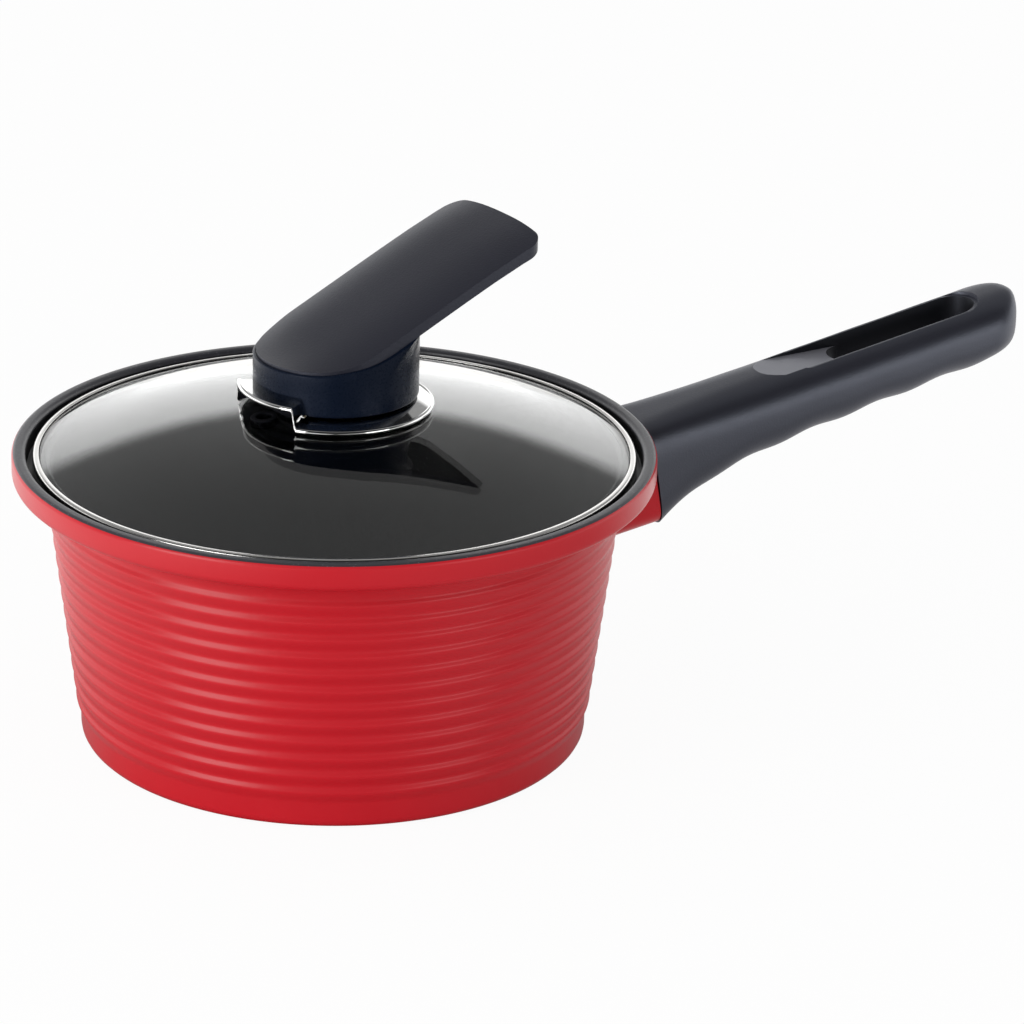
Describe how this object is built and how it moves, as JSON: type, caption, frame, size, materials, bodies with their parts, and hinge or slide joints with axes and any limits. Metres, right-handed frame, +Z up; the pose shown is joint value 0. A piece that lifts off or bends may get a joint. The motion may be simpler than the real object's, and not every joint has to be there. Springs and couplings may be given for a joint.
{
  "type": "saucepan with glass lid",
  "caption": "Ribbed cast saucepan with a domed glass lid in a steel band, a lever-shaped lid knob over a steam mouth, and one long moulded handle with a hanging slot.",
  "frame": {"origin": "centre of the pan's base, on the table", "axes": "+Z up along the pan's axis; +X out along the handle; +Y to the left of someone who looks along +X"},
  "size_m": [0.3279, 0.19, 0.1519],
  "materials": {
    "red_casting": "smooth red enamel over cast aluminium outside, dark grey coating inside and on the rim",
    "handle_moulding": "satin black phenolic moulding",
    "zinc_steel": "zinc-plated steel",
    "clear_glass": "clear tempered glass",
    "band_steel": "polished stainless steel",
    "silicone": "dark silicone",
    "collar_chrome": "bright chromed sheet",
    "knob_moulding": "glossy blue-black phenolic",
    "lever_moulding": "matt black phenolic",
    "insert_brass": "turned brass"
  },
  "bodies": {
    "pan": {"pan_body": "red_casting", "handle_grip": "handle_moulding", "handle_screw": "zinc_steel", "handle_washer": "zinc_steel", "handle_spring_washer": "zinc_steel"},
    "lid": {"lid_glass": "clear_glass", "lid_band": "band_steel", "steam_eyelet": "silicone", "collar_gasket": "silicone", "knob_collar": "collar_chrome", "knob_base": "knob_moulding", "lever_plate": "lever_moulding", "lever_screws": "zinc_steel", "knob_insert": "insert_brass", "lower_gasket": "silicone", "lower_washer": "band_steel", "lower_spring_washer": "band_steel", "knob_screw": "band_steel"}
  },
  "joints": [
    {"name": "lid_lift", "type": "slide", "parent": "pan", "child": "lid", "axis": [0, 0, 1], "range_m": [0, 0.12]}
  ]
}
